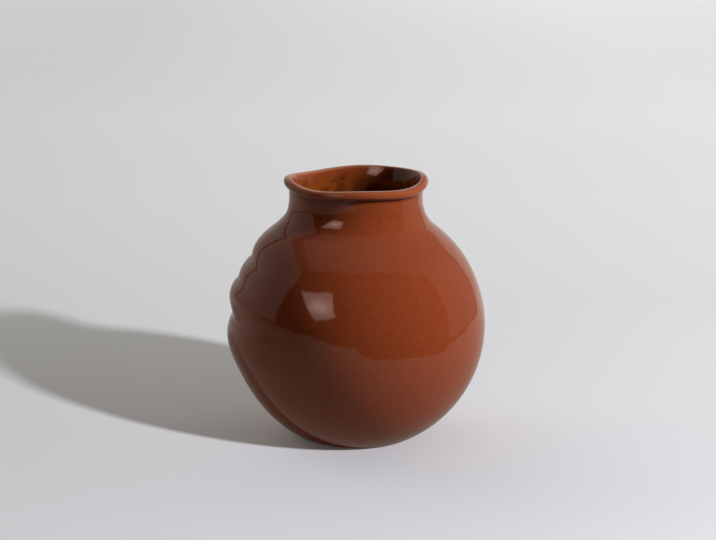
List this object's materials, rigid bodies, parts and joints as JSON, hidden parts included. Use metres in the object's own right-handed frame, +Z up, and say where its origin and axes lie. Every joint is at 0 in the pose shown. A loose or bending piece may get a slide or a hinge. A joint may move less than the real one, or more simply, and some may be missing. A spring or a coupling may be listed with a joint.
{
  "type": "terracotta vase",
  "caption": "Round glazed terracotta vase with a plump coiled side, short neck and wavy rolled rim, open at the top to hold water and stems.",
  "frame": {"origin": "on the surface the vase stands on, under the middle of its foot", "axes": "+Z up the turning axis to the mouth, -Y towards the viewer, -X to the side with the plump coils"},
  "size_m": [0.1967, 0.1944, 0.2003],
  "materials": {
    "bare_terracotta": "matt unglazed fired clay",
    "glazed_terracotta": "glossy honey-brown glaze over red clay"
  },
  "bodies": {
    "root": {"base_disc": "bare_terracotta", "wall_coil_1": "glazed_terracotta", "wall_coil_2": "glazed_terracotta", "wall_coil_3": "glazed_terracotta", "wall_coil_4": "glazed_terracotta", "wall_coil_5": "glazed_terracotta", "neck_collar": "glazed_terracotta", "rim_roll": "glazed_terracotta"}
  },
  "joints": []
}
